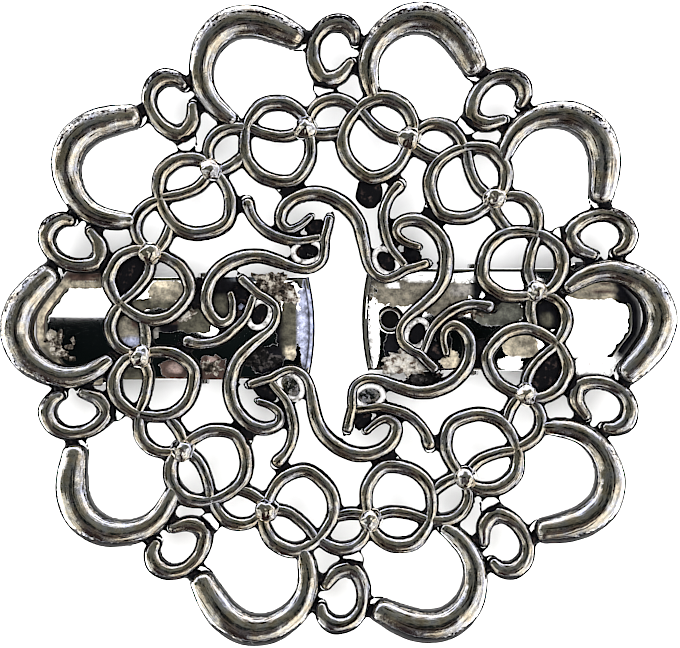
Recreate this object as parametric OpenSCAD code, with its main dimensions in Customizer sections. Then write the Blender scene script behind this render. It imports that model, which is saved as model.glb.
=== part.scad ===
// Cardigan clip: a round openwork casting with two sprung clips soldered behind it.
// The casting, the clips' top plates and the solder are one solid, as soldered metal is.
// The face looks up (+Z) and the jaws' flat tails rest on the floor at z = 0.
// The axis of the rosette is the Z axis. Across the picture is X, up the picture is Y.

/* [Rosette] */
// How many large scrolls and small rings go round the rim
rim_repeats = 10; // [6:1:14]
// Direction of the first large scroll, in degrees
rim_turn = 1.5; // [0:0.5:36]
// How many barred rings make up the band
band_repeats = 12; // [8:1:16]
// Direction of the first barred ring's own line, in degrees
band_turn = 0; // [0:0.5:30]
// How many scrolls meet round the middle
inner_repeats = 6; // [4:1:8]
// Direction of the first inner scroll, in degrees
inner_turn = 5; // [0:0.5:60]
// Height of the rosette as a share of its width: the casting isn't quite round
oval = 0.987; // [0.95:0.001:1]
// Thickness of the openwork itself
lace_t = 1.7; // [1:0.1:3]
// How far the large scrolls' rounded backs stand above the rest
crown_h = 0.75; // [0.2:0.05:1.2]
// Radius of the beads on the band
bead_r = 1.05; // [0.6:0.05:1.6]
// Slits narrower than this between strands are closed, as they are in a casting
slit_w = 0.3; // [0.1:0.02:0.6]
// Thickness of the thin webs that fill three of the openings
web_t = 0.5; // [0.3:0.05:1.2]

/* [Clips] */
// Gap between the two clips' tails, across the middle
tail_gap = 4.3; // [4.1:0.1:8]
// How far each clip's mouth is from the middle
clip_reach = 27.2; // [22:0.1:29]
// Width of the top plate
plate_w = 9.3; // [7:0.1:12]
// Width of the top plate at its mouth
mouth_w = 10.5; // [8:0.1:13]
// Thickness of the top plate
plate_t = 0.8; // [0.4:0.05:1.2]
// How far each clip sits off the middle line, opposite ways
clip_shift = 0.4; // [0:0.1:1]
// Diameter of the hole near the top plate's tail
hole_d = 1.6; // [0.8:0.1:3]
// Distance of that hole from the middle of the rosette
hole_at = 4.7; // [4:0.1:8]
// Space between the top plate and the jaw's tail
pinch = 3.4; // [2:0.1:5]
// Thickness of the jaw's strip
jaw_t = 0.7; // [0.4:0.05:1.2]
// Distance of the hinge from the middle of the rosette
hinge_at = 12.3; // [10:0.1:16]
// Diameter of the hinge pin
pin_d = 1.0; // [0.6:0.05:1.6]
// How far the pin stands out past the ears on each side
pin_proud = 0.45; // [0:0.05:1]
// Number of teeth across the jaw's mouth
teeth = 6; // [3:1:12]

/* [Spring] */
// Diameter of the spring wire
wire_d = 0.45; // [0.3:0.05:0.8]
// Radius of the coil at the middle of the wire
coil_r = 1.15; // [0.8:0.05:1.6]
// Turns of the coil
coil_turns = 6; // [3:1:10]
// Length of each leg of the spring, from the pin
leg_reach = 6.2; // [3:0.1:9]

/* [Solder] */
// Height of the solder lumps above the top plate
solder_h = 1.3; // [0.5:0.1:2]

/* [Hidden] */
$fn = 64;
silver = [0.66, 0.65, 0.62];
nickel = [0.80, 0.81, 0.84];
steel = [0.55, 0.56, 0.58];
tin = [0.72, 0.69, 0.64];
sink = 0.06;                         // how far the casting and the lumps sink into the solder film
ear_gap = 0.08;                      // air between the jaw's ears and the plate's ears
ear_t = 0.7;
ear_r = 1.4;                         // round end of an ear, about the pin
plate_z = jaw_t + pinch;             // underside of the top plate
lace_z = plate_z + plate_t - sink;   // flat back of the casting
rim_z = lace_z + lace_t;             // top of the openwork, and of all but the large scrolls
pin_z = jaw_t + pinch / 2;
jaw_half = plate_w / 2 - ear_t - ear_gap;
mouth_half = mouth_w / 2;
spans = 2;                           // straight stretches between two points of a strand

// Strands of the rosette, seen from the front with the rim at the top of the page.
// Each row is [across to the right, distance out from the middle, width], in mm.
large_scroll = [
    [-2.95, 21.0, 1.4], [-3.55, 21.9, 1.8], [-4.1, 23.3, 1.95], [-4.2, 24.9, 2.1],
    [-3.6, 26.7, 2.35], [-2.15, 28.35, 2.75], [0.0, 29.1, 3.0], [2.1, 28.6, 3.0],
    [3.7, 27.45, 2.8], [4.85, 26.3, 2.4]];
small_ring = [
    [-5.95, 25.4, 1.15], [-6.35, 26.05, 1.5], [-7.45, 26.5, 1.75], [-8.75, 25.9, 1.55],
    [-9.4, 24.4, 1.35], [-9.0, 22.5, 1.4], [-7.7, 21.15, 1.6], [-6.35, 21.75, 1.5],
    [-5.75, 23.1, 1.1]];
band_ring = [
    [1.75, 19.6, 1.15], [0.85, 18.4, 1.2], [0.35, 16.8, 1.35], [0.95, 14.9, 1.35],
    [2.9, 13.4, 1.35], [5.0, 14.1, 1.3], [6.1, 15.6, 1.2], [6.45, 16.9, 1.2],
    [6.75, 18.3, 1.3], [5.9, 19.9, 1.45], [4.2, 20.7, 1.5], [2.7, 20.3, 1.3],
    [1.9, 19.7, 1.2]];
band_bar = [[2.0, 19.6, 1.1], [3.2, 18.2, 1.1], [4.6, 17.2, 1.15], [6.3, 16.9, 1.2]];
band_loop = [
    [-2.9, 17.8, 1.2], [-2.4, 19.4, 1.1], [-1.5, 20.3, 1.25], [-0.3, 20.6, 1.35],
    [0.8, 20.3, 1.3], [1.7, 19.7, 1.2]];
band_tie = [[-3.0, 17.5, 1.2], [-1.2, 17.35, 1.25], [0.4, 17.6, 1.2]];
inner_scroll = [
    [3.45, 9.45, 0.75], [2.3, 9.35, 0.8], [1.3, 9.65, 0.95], [1.05, 10.6, 1.15],
    [2.0, 11.5, 1.3], [3.4, 11.7, 1.35], [5.0, 11.1, 1.4], [6.2, 9.8, 1.45],
    [6.8, 8.1, 1.45], [6.8, 6.5, 1.35], [6.2, 4.9, 1.25], [5.35, 3.3, 1.0]];
inner_eye = [
    [-0.7, 7.2, 1.15], [-0.1, 6.3, 0.95], [0.9, 5.55, 0.9], [2.1, 5.55, 0.9],
    [2.9, 6.3, 0.95], [3.4, 7.05, 1.0], [4.1, 7.65, 1.0], [4.75, 8.25, 1.0]];
inner_tail = [
    [-0.45, 13.6, 1.35], [-0.7, 12.7, 1.1], [-0.7, 11.6, 1.05], [-0.4, 10.5, 1.1],
    [0.3, 9.4, 1.1], [1.2, 8.4, 1.0], [2.2, 7.85, 0.95], [3.25, 7.35, 0.9]];
bead_at = [6.4, 17.0];
eye_at = [1.5, 7.0, 1.4];

// Short ties that join neighbouring strands, in the same rows.
rim_ties = [
    [[4.9, 26.1, 1.5], [6.6, 25.6, 1.0]],     // blunt end to the next small ring
    [[-6.0, 25.4, 0.9], [-4.8, 25.4, 0.9]],   // the ring's upper tip to the scroll's back
    [[-5.8, 23.0, 1.0], [-4.7, 22.8, 1.0]],   // its lower tip to the scroll's back
    [[-7.5, 21.1, 2.0], [-7.4, 20.4, 2.0]]];  // the ring's foot to the band
inner_ties = [
    [[3.2, 13.1, 1.5], [3.4, 11.9, 1.5]],     // top of the scroll to the barred ring
    [[-0.6, 13.4, 1.0], [-1.4, 14.3, 1.0]]];  // head of the tail to the other barred ring

// Barred rings whose outer half is filled by a thin web.
filled_rings = [0, 6];
// An oval web between the band and an inner scroll: [x, y, half width, half height].
oval_web = [2.8, 11.95, 1.35, 1.8];

function catmull(a, b, c, d, t) =
    0.5 * (2 * b + (c - a) * t + (2 * a - 5 * b + 4 * c - d) * t * t
           + (3 * b - a - 3 * c + d) * t * t * t);
function strand(rows) = [
    for (i = [0 : len(rows) - 2]) for (j = [0 : spans - 1])
        catmull(rows[max(i - 1, 0)], rows[i], rows[i + 1], rows[min(i + 2, len(rows) - 1)], j / spans),
    rows[len(rows) - 1]];
function flat2(p) = [p[0], p[1]];
function heading(p, i) =
    let (d = flat2(p[min(i + 1, len(p) - 1)]) - flat2(p[max(i - 1, 0)])) d / norm(d);
function side(p, i, s) =
    let (h = heading(p, i)) flat2(p[i]) + s * p[i][2] / 2 * [-h[1], h[0]];

// A flat ribbon along a strand, with round ends.
module ribbon(rows) {
    p = strand(rows);
    last = len(p) - 1;
    for (i = [0 : last - 1])
        polygon([side(p, i, 1), side(p, i, -1), side(p, i + 1, -1), side(p, i + 1, 1)]);
    for (i = [0, last])
        translate(flat2(p[i])) circle(d = p[i][2], $fn = 16);
}

// Copies round the axis, with a strand's "out" direction at the angle asked for.
module around(count, turn) {
    scale([1, oval]) for (k = [0 : count - 1]) rotate(turn + k * 360 / count - 90) children();
}

module rim_shape() {
    ribbon(large_scroll);
    ribbon(small_ring);
    for (tie = rim_ties) ribbon(tie);
}

module band_shape() {
    ribbon(band_ring);
    ribbon(band_bar);
    ribbon(band_loop);
    ribbon(band_tie);
    translate(bead_at) circle(r = bead_r, $fn = 20);
}

module inner_shape() {
    ribbon(inner_scroll);
    ribbon(inner_eye);
    ribbon(inner_tail);
    translate([eye_at[0], eye_at[1]]) circle(r = eye_at[2], $fn = 16);
    for (tie = inner_ties) ribbon(tie);
}

// Strands joined into one outline, with the narrow slits between them closed.
module joined() {
    offset(delta = -slit_w / 2) offset(delta = slit_w / 2) children();
}

// The whole openwork as one outline.
module lace_shape() {
    joined() {
        around(rim_repeats, rim_turn) rim_shape();
        around(band_repeats, band_turn) band_shape();
        around(inner_repeats, inner_turn) inner_shape();
    }
}

// One step of the large scrolls' rounded backs, a share of the scrolls' own width.
module scroll_step(share) {
    joined() around(rim_repeats, rim_turn) ribbon([
        for (i = [2 : len(large_scroll) - 1])
            [large_scroll[i][0], large_scroll[i][1], large_scroll[i][2] * share]]);
}

// Where a point of a motif comes to in its copy number k.
function placed(p, k, count, turn) =
    let (a = turn + k * 360 / count - 90)
        [p[0] * cos(a) - p[1] * sin(a), oval * (p[0] * sin(a) + p[1] * cos(a))];

// The part of a barred ring between its bar and the rim.
module outer_half() {
    ring = strand(band_ring);
    polygon([
        for (p = strand(band_bar)) flat2(p),
        for (i = [7 * spans : len(ring) - 1]) flat2(ring[i])]);
}

module webs_shape() {
    scale([1, oval])
        for (k = filled_rings) rotate(band_turn + k * 360 / band_repeats - 90) outer_half();
    translate([oval_web[0], oval_web[1]]) scale([oval_web[2], oval_web[3]]) circle(1, $fn = 24);
}

module filigree_casting() {
    color(silver) {
        translate([0, 0, lace_z]) linear_extrude(lace_t) lace_shape();
        translate([0, 0, rim_z - 0.05]) {
            linear_extrude(0.05 + crown_h * 0.6) scroll_step(0.8);
            linear_extrude(0.05 + crown_h) scroll_step(0.5);
        }
        for (k = [0 : band_repeats - 1])
            translate(placed(bead_at, k, band_repeats, band_turn))
                translate([0, 0, rim_z - 0.35]) intersection() {
                    sphere(r = bead_r - 0.1);
                    cylinder(r = bead_r, h = bead_r);
                }
        translate([0, 0, lace_z + 0.3]) linear_extrude(web_t) webs_shape();
    }
}

// Everything of a clip is drawn with its mouth towards +X, then turned to its side.
module clip_side(left) {
    rotate(left ? 180 : 0) translate([0, clip_shift, 0]) children();
}

module plate_outline() {
    end_sag = 0.55;
    end_r = ((plate_w / 2) ^ 2 + end_sag ^ 2) / (2 * end_sag);
    first = tail_gap / 2;
    difference() {
        polygon([
            [first, -plate_w / 2], [20.6, -plate_w / 2], [21.6, -mouth_half], [24.6, -mouth_half],
            [clip_reach - 0.2, -1.6], [clip_reach, -0.8], [clip_reach, 0.8],
            [clip_reach - 0.2, 1.6], [24.6, mouth_half], [21.6, mouth_half],
            [20.6, plate_w / 2], [first, plate_w / 2]]);
        difference() {
            translate([first - 1, -plate_w]) square([3, 2 * plate_w]);
            translate([first + end_r, 0]) circle(r = end_r, $fn = 180);
        }
        translate([hole_at, 0]) circle(d = hole_d);
    }
}

// A side ear with a round end about the pin: from is where it joins its strip.
module ear(from, to, bore) {
    difference() {
        union() {
            translate([hinge_at, 0, pin_z]) rotate([-90, 0, 0]) cylinder(r = ear_r, h = ear_t);
            translate([hinge_at - ear_r, 0, min(from, to)]) cube([2 * ear_r, ear_t, abs(to - from)]);
        }
        translate([hinge_at, -1, pin_z]) rotate([-90, 0, 0]) cylinder(d = bore, h = ear_t + 2);
    }
}

module top_plate() {
    translate([0, 0, plate_z]) linear_extrude(plate_t) plate_outline();
    for (y = [-plate_w / 2, plate_w / 2 - ear_t])
        translate([0, y, 0]) ear(pin_z, plate_z + 0.1, pin_d + 0.04);
}

module jaw() {
    bend = hinge_at + ear_r + 0.3;
    lip = clip_reach - 1.9;
    lip_z = plate_z - 1.75;
    tooth_w = 2 * jaw_half / teeth;
    // strip: flat tail, then a slope up to the mouth
    translate([0, jaw_half, 0]) rotate([90, 0, 0]) linear_extrude(2 * jaw_half)
        polygon([[3.1, 0], [bend, 0], [lip + 0.8, lip_z], [lip + 0.8, lip_z + jaw_t + 0.25],
                 [lip, lip_z + jaw_t + 0.25], [lip, lip_z + jaw_t], [bend - 0.15, jaw_t],
                 [3.1, jaw_t]]);
    // teeth along the turned-up lip
    for (k = [0 : teeth - 1])
        translate([lip + 0.8, -jaw_half + k * tooth_w, lip_z + jaw_t]) rotate([90, 0, -90])
            linear_extrude(0.8) mirror([1, 0]) polygon([
                [0.03, 0], [tooth_w - 0.03, 0], [tooth_w - 0.03, 0.4],
                [tooth_w / 2, 0.97], [0.03, 0.4]]);
    for (y = [-jaw_half, jaw_half - ear_t])
        translate([0, y, 0]) ear(0.1, pin_z, pin_d + 0.12);
}

module pin() {
    translate([hinge_at, -plate_w / 2 - pin_proud, pin_z]) rotate([-90, 0, 0])
        cylinder(d = pin_d, h = plate_w + 2 * pin_proud);
}

// A torsion spring: close turns round the pin and a leg against the plate and the jaw.
module spring() {
    pitch = wire_d - 0.04;
    half = pitch * (coil_turns - 1) / 2;
    leg_gap = 0.03;
    rise = pinch / 2 - wire_d / 2 - leg_gap - coil_r;
    lean = atan(rise / leg_reach);
    translate([hinge_at, 0, pin_z]) rotate([-90, 0, 0]) rotate_extrude()
        for (k = [0 : coil_turns - 1])
            translate([coil_r, k * pitch - half]) circle(d = wire_d, $fn = 24);
    for (s = [-1, 1])
        translate([hinge_at, s * half, pin_z + s * coil_r]) rotate([0, -90 + s * lean, 0])
            cylinder(d = wire_d, h = leg_reach, $fn = 12);
}

// Low lumps of solder on the plate, in the openings of the casting. Rows are [x, y, radius].
module solder(lumps) {
    for (lump = lumps)
        translate([lump[0], lump[1], plate_z + plate_t - sink]) intersection() {
            translate([0, 0, solder_h - lump[2] * 1.6]) sphere(r = lump[2] * 1.6);
            cylinder(r = lump[2], h = solder_h + 1);
        }
}

left_lumps = [[4.7, -3.7, 0.85], [6.9, 2.9, 0.7]];
right_lumps = [[5.4, -3.8, 0.75], [5.6, 2.2, 0.6]];

// The soldered solid: the casting, the two top plates and the lumps of solder.
module rosette() {
    filigree_casting();
    color(nickel) for (left = [true, false]) clip_side(left) top_plate();
    color(tin) clip_side(true) solder(left_lumps);
    color(tin) clip_side(false) solder(right_lumps);
}
module left_jaw() { color(nickel) clip_side(true) jaw(); }
module right_jaw() { color(nickel) clip_side(false) jaw(); }
module left_pin() { color(steel) clip_side(true) pin(); }
module right_pin() { color(steel) clip_side(false) pin(); }
module left_spring() { color(steel) clip_side(true) spring(); }
module right_spring() { color(steel) clip_side(false) spring(); }

rosette();
left_jaw();
right_jaw();
left_pin();
right_pin();
left_spring();
right_spring();
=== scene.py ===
"""Cardigan clip: a polished openwork rosette of round strands on two sprung clips."""
import math

import bmesh
import bpy
import numpy as np
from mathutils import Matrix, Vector, geometry, noise


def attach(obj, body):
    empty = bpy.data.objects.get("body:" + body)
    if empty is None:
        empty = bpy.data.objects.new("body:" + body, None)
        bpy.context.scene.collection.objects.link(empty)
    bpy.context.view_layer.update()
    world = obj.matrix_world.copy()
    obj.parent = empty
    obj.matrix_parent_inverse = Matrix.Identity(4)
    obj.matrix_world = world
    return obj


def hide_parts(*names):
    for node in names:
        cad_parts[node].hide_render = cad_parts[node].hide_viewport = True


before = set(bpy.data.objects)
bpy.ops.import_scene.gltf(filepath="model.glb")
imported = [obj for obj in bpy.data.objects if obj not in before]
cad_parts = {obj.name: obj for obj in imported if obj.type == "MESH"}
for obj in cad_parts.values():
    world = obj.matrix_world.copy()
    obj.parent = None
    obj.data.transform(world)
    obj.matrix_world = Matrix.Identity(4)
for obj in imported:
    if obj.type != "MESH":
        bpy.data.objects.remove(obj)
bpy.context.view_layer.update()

MM = 0.001
noise.seed_set(1)  # so that what noise makes uneven is the same each run

# Sizes in mm, as in the part's source.
OVAL = 0.987
LACE_Z = 4.84
WALL = 1.0
PLATE_Z = 4.1
PLATE_T = 0.8
PLATE_W = 9.3
MOUTH_W = 10.5
REACH = 27.2
TAIL = 2.15
TAIL_SAG = 0.55
SHIFT = 0.4
HINGE = 12.3
PIN_Z = 2.4
PIN_R = 0.5
EAR_T = 0.7
EAR_R = 1.4
COIL_R = 1.15
WIRE_R = 0.225
HOLE_AT = 4.7
HOLE_R = 0.8
MOUTH_FROM = 20.6  # where a plate starts to widen
MOUTH_FULL = 21.6  # where its mouth has its full width
MOUTH_CORNER = 24.6  # where the mouth's sides turn in towards the lip's end
LIP_CORNER = 1.6  # half width of the lip's end before its last short chamfer
LIP_END = 0.8  # half width of the lip's very end
MOUTH_SLOPE = 1.52  # half width gained per mm inwards from there, a little over

# Sizes in mm that only this model has.
TUCK = 0.3  # how much further the lip is drawn, to end under the rim
LIP_CHAMFER = 0.2  # length of the last short chamfer
LIP = 0.95  # how far in the bent lip of a mouth reaches
LIP_SLOPE = 0.2  # how much all of it falls away
LIP_STEEP = 0.45  # how far in its steep part reaches
STEEP_SLOPE = 0.75  # how much more that part falls away
TAIL_BEND = 1.35  # length of the last stretch of a plate's tail
TAIL_SLOPE = 0.1  # how much that stretch falls away
EDGE_ROUND = 0.2  # radius of a plate's edges
PLATE_SINK = 0.03  # how much lower a plate is drawn, to leave room for its waves
GRID = 0.25  # spacing of a plate's own mesh
EDGE_DEPTHS = (0.04, 0.1, 0.18, 0.33, 0.5, 0.65, 0.77, 0.84, 0.91, 0.97, 1.2)  # rows along its edge
HOLE_DEPTHS = (0.05, 0.12, 0.25, 0.5)  # and round its hole
EAR_SUNK = 0.3  # how far the plate's ears reach up into it
COIL_TURNS = 5.5
COIL_GAP = 0.01  # between two turns
LEG_REACH = 6.2  # length of a spring's leg
LEG_RISE = 0.295  # how far its end lies off the coil's height
WEB_T = 0.66  # thickness of the cast webs
OPEN_GAP = 9.0  # stands for any distance too large to matter

# Strands in a motif's own frame: [across, out from the middle, width].
LARGE_SCROLL = [
    [-2.95, 21.0, 1.4], [-3.55, 21.9, 1.8], [-4.1, 23.3, 1.95], [-4.2, 24.9, 2.1], [-3.6, 26.7, 2.35],
    [-2.15, 28.35, 2.75], [0.0, 29.1, 3.0], [2.1, 28.6, 3.0], [3.7, 27.45, 2.8], [4.85, 26.3, 2.4]]
SMALL_RING = [
    [-5.95, 25.4, 1.15], [-6.35, 26.05, 1.5], [-7.45, 26.5, 1.75], [-8.75, 25.9, 1.55], [-9.4, 24.4, 1.35],
    [-9.0, 22.5, 1.4], [-7.7, 21.15, 1.6], [-6.35, 21.75, 1.5], [-5.75, 23.1, 1.1]]
BAND_RING = [
    [1.75, 19.6, 1.15], [0.85, 18.4, 1.2], [0.35, 16.8, 1.35], [0.95, 14.9, 1.35], [2.9, 13.4, 1.35],
    [5.0, 14.1, 1.3], [6.1, 15.6, 1.2], [6.45, 16.9, 1.2], [6.75, 18.3, 1.3], [5.9, 19.9, 1.45],
    [4.2, 20.7, 1.5], [2.7, 20.3, 1.3]]
BAND_BAR = [[2.0, 19.6, 1.1], [3.2, 18.2, 1.1], [4.6, 17.2, 1.15], [6.3, 16.9, 1.2]]
BAND_LOOP = [
    [-2.9, 17.8, 1.2], [-2.4, 19.4, 1.1], [-1.5, 20.3, 1.25], [-0.3, 20.6, 1.35], [0.8, 20.3, 1.3],
    [1.7, 19.7, 1.2]]
BAND_TIE = [[-3.0, 17.5, 1.2], [-1.2, 17.35, 1.25], [0.4, 17.6, 1.2]]
INNER_SCROLL = [
    [3.45, 9.45, 0.75], [2.3, 9.35, 0.8], [1.3, 9.65, 0.95], [1.05, 10.6, 1.15], [2.0, 11.5, 1.3],
    [3.4, 11.7, 1.35], [5.0, 11.1, 1.4], [6.2, 9.8, 1.45], [6.8, 8.1, 1.45], [6.8, 6.5, 1.35],
    [6.2, 4.9, 1.25], [5.35, 3.3, 1.0]]
INNER_EYE = [
    [-0.7, 7.2, 1.15], [-0.1, 6.3, 0.95], [0.9, 5.55, 0.9], [2.1, 5.55, 0.9], [2.9, 6.3, 0.95],
    [3.4, 7.05, 1.0], [4.1, 7.65, 1.0], [4.75, 8.25, 1.0]]
INNER_TAIL = [
    [-0.45, 13.6, 1.35], [-0.7, 12.7, 1.1], [-0.7, 11.6, 1.05], [-0.4, 10.5, 1.1], [0.3, 9.4, 1.1],
    [1.2, 8.4, 1.0], [2.2, 7.85, 0.95], [3.25, 7.35, 0.9]]
RIM_TIES = [
    [[4.9, 26.1, 1.5], [6.6, 25.6, 1.0]], [[-6.0, 25.4, 0.9], [-4.8, 25.4, 0.9]],
    [[-5.8, 23.0, 1.0], [-4.7, 22.8, 1.0]], [[-7.5, 21.1, 2.0], [-7.4, 20.4, 2.0]]]
INNER_TIES = [[[3.2, 13.1, 1.5], [3.4, 11.9, 1.5]], [[-0.6, 13.4, 1.0], [-1.4, 14.3, 1.0]]]
# The rest of a motif: where its bead, eye and fork are, and their sizes.
BEAD_AT = (6.4, 17.0)
BEAD_R = 1.08
EYE_AT = (1.5, 7.0)
EYE_R = 1.3
EYE_HALF = (1.28, 0.93)  # half sizes of the ring round each eye, to the middle of its wall
EYE_TURN = -28.0  # the way its long side points, in degrees
EYE_WALL = 0.52  # thickness of that ring
EYE_SHADE = (0.95, 0.8, 0.75, 0.95, 0.36, 0.4)  # how black each eye's floor is: painted shade, deeper in some eyes than in others
FORK_AT = (3.3, 8.4)
FORK_R = 0.9
FILLED_RINGS = (0, 6)  # barred rings over the clips whose outer half is filled with a black sheet of painted shade
OUTER_HALF_ROW = 7  # the row of BAND_RING where that half starts
OVAL_WEB = (2.8, 11.95, 1.2, 1.6)  # x, y, half width, half height
# Families of copies: how many, and the first one's angle in degrees.
RIM = (10, 1.5)
BAND = (12, 0.0)
INNER = (6, 5.0)

# Colours of the marks on the plates: stains, with painted shadow in black, painted highlights in white and
# painted reflections in lavender.
MARKS = {
    "highlight_white": (0.80, 0.80, 0.80), "cream": (0.30, 0.265, 0.20), "tan": (0.14, 0.125, 0.095),
    "drab": (0.085, 0.077, 0.06), "olive": (0.035, 0.033, 0.024), "slate": (0.045, 0.050, 0.058),
    "green": (0.045, 0.046, 0.038), "grey": (0.115, 0.108, 0.10), "brown": (0.028, 0.017, 0.014),
    "pink": (0.17, 0.125, 0.115), "reflection_lavender": (0.20, 0.215, 0.30), "shadow_and_patina_black": (0.002, 0.002, 0.003)}
# Where the marks are, from the middle of the rosette: [x, y, half length, half width, colour].
PLATE_MARKS = [
    # the left plate
    (-23.3, 4.6, 2.3, 0.7, "brown"), (-24.3, 4.9, 0.3, 0.2, "pink"), (-22.2, 4.85, 0.35, 0.2, "pink"),
    (-23.0, 3.55, 2.3, 0.35, "tan"), (-26.0, -2.2, 0.8, 1.6, "drab"), (-16.9, 1.8, 1.9, 0.5, "olive"),
    (-15.6, 3.0, 1.7, 0.85, "tan"), (-15.9, 3.6, 0.8, 0.3, "cream"), (-18.6, -0.3, 1.3, 1.7, "drab"),
    (-19.0, 1.0, 0.5, 0.4, "cream"), (-18.3, 0.1, 0.5, 0.5, "brown"), (-18.6, -1.6, 0.9, 0.4, "reflection_lavender"),
    (-16.8, -0.6, 0.55, 0.8, "grey"), (-15.4, -0.3, 0.9, 0.5, "shadow_and_patina_black"), (-15.7, 0.2, 1.2, 0.2, "brown"),
    (-12.9, -0.1, 1.4, 0.8, "olive"), (-10.0, 2.6, 1.3, 2.5, "shadow_and_patina_black"), (-8.0, 4.1, 1.8, 0.25, "slate"),
    (-12.7, 2.5, 0.6, 1.8, "shadow_and_patina_black"), (-13.0, 0.9, 1.6, 0.6, "olive"), (-10.6, 1.7, 0.6, 0.9, "olive"),
    (-8.4, 1.55, 0.6, 0.7, "reflection_lavender"), (-6.9, 0.9, 0.8, 1.0, "shadow_and_patina_black"), (-14.9, -4.1, 1.2, 0.85, "brown"),
    (-14.7, -4.0, 0.5, 0.4, "pink"), (-11.3, -4.1, 1.2, 1.3, "brown"), (-11.4, -3.3, 0.3, 0.3, "pink"),
    (-18.4, -4.6, 1.1, 0.7, "olive"), (-6.5, -3.2, 1.6, 1.2, "shadow_and_patina_black"), (-5.2, -0.5, 0.45, 1.4, "shadow_and_patina_black"),
    (-4.4, 0.1, 0.7, 2.9, "olive"), (-4.3, -2.6, 0.5, 0.6, "cream"), (-2.95, -0.2, 0.65, 3.7, "reflection_lavender"),
    # the right plate
    (9.8, 2.2, 2.2, 1.5, "drab"), (17.6, 2.2, 0.9, 1.5, "shadow_and_patina_black"), (6.0, 2.95, 2.8, 1.3, "drab"),
    (5.0, 3.5, 0.55, 0.25, "highlight_white"), (7.2, 4.1, 1.1, 0.25, "highlight_white"), (11.2, 3.1, 1.1, 0.6, "grey"),
    (11.3, 4.1, 0.8, 0.3, "highlight_white"), (12.5, 3.3, 0.4, 1.3, "shadow_and_patina_black"), (15.2, 2.5, 1.25, 0.5, "brown"),
    (15.3, 2.7, 0.9, 0.2, "cream"), (14.4, 1.0, 2.2, 1.2, "green"), (19.1, 0.9, 1.0, 1.5, "shadow_and_patina_black"),
    (18.9, 0.4, 0.5, 0.55, "olive"), (16.45, -1.9, 1.5, 1.15, "cream"), (16.6, -2.15, 1.25, 0.85, "tan"),
    (15.6, -3.6, 1.2, 0.55, "highlight_white"), (23.6, 3.2, 3.0, 1.0, "tan"), (22.8, 3.9, 1.6, 0.25, "cream"),
    (24.0, 3.0, 1.2, 0.15, "brown"), (24.5, 3.6, 0.8, 0.15, "brown"), (22.5, 2.6, 1.5, 0.2, "drab"),
    (25.9, 3.0, 0.9, 1.2, "shadow_and_patina_black"), (23.6, -4.3, 2.4, 1.3, "highlight_white"), (3.3, -1.2, 0.45, 2.4, "highlight_white"),
    (4.85, -2.1, 0.7, 1.3, "shadow_and_patina_black"), (8.3, -1.9, 0.45, 1.9, "highlight_white"), (9.4, -1.8, 0.9, 0.8, "shadow_and_patina_black"),
    (10.1, -3.2, 0.8, 0.8, "cream")]
# Lines along the mouths' edges and across the tails: [from, to, colour].
LEFT_LIP = [(-0.1, 0.14, "brown"), (0.14, 0.8, "cream"), (0.8, 0.92, "brown")]
# The black line along the right mouth's edge is painted shadow.
RIGHT_LIP = [(-0.1, 0.85, "shadow_and_patina_black")]
TAIL_LINES = [(-0.3, 0.12), (0.42, 0.56)]
# Lumps of solder: [x, y, half length, half width, height].
PALE_LUMPS = [
    (6.3, -3.4, 1.9, 1.2, 0.55), (4.7, -4.0, 0.9, 0.6, 0.35), (-4.2, 2.4, 0.7, 0.6, 0.35),
    (-14.0, 0.9, 1.0, 0.7, 0.3)]
BROWN_LUMPS = [
    (-26.2, -1.3, 0.5, 0.6, 0.25), (-25.6, -2.0, 0.6, 0.5, 0.25), (-25.2, -1.2, 0.3, 0.5, 0.25),
    (-25.0, -2.7, 0.6, 0.4, 0.25), (-24.4, -2.1, 0.35, 0.3, 0.2), (-24.1, -1.5, 0.2, 0.35, 0.2),
    (-24.3, -3.1, 0.4, 0.25, 0.2), (12.2, 1.35, 1.8, 0.7, 0.3), (-5.7, 3.3, 1.6, 1.3, 0.5),
    (-7.0, 2.9, 0.9, 0.9, 0.4), (-11.6, -3.9, 0.9, 0.8, 0.2)]
BLACK_LUMPS = [(7.9, -5.0, 1.8, 0.55, 0.4), (-7.0, -3.3, 1.6, 1.0, 0.25)]

# The photo's scale and the camera.
PHOTO_W = 680  # pixels
PIXEL = 0.09  # mm
DISTANCE = 0.25  # m, the camera over the ground
SCALE_Z = 0.0066  # m, the height where the photo's scale holds


# Curves.
SPAN_POINTS = 10  # points of a curve from one row to the next


def catmull(rows, closed=False):
    """A smooth curve through rows, with the width carried along."""
    p = np.array(rows, float)
    p = np.concatenate([p[-1:], p, p[:2]] if closed else [p[:1], p, p[-1:]])
    out = []
    for a, b, c, d in zip(p, p[1:], p[2:], p[3:]):
        for j in range(SPAN_POINTS):
            t = j / SPAN_POINTS
            out.append(0.5 * (2 * b + (c - a) * t + (2 * a - 5 * b + 4 * c - d) * t * t
                              + (3 * b - a - 3 * c + d) * t ** 3))
    return np.array(out + [p[-2]])


def resampled(path, step):
    """The same curve with points about step apart."""
    gaps = np.linalg.norm(np.diff(path[:, :2], axis=0), axis=1)
    s = np.concatenate([[0], np.cumsum(gaps)])
    n = max(int(round(s[-1] / step)), 3)
    at = np.linspace(0, s[-1], n + 1)
    return np.stack([np.interp(at, s, path[:, k]) for k in range(path.shape[1])], 1)


def placed(path, k, family):
    """A motif's curve turned to its copy number k."""
    count, turn = family
    a = math.radians(turn + k * 360 / count - 90)
    out = path.copy()
    out[:, 0] = path[:, 0] * math.cos(a) - path[:, 1] * math.sin(a)
    out[:, 1] = OVAL * (path[:, 0] * math.sin(a) + path[:, 1] * math.cos(a))
    return out


def next_motif(rows, count):
    """The next copy's rows, seen from this copy."""
    a = 2 * math.pi / count
    return [[x * math.cos(a) + y * math.sin(a), y * math.cos(a) - x * math.sin(a), w] for x, y, w in rows]


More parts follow.
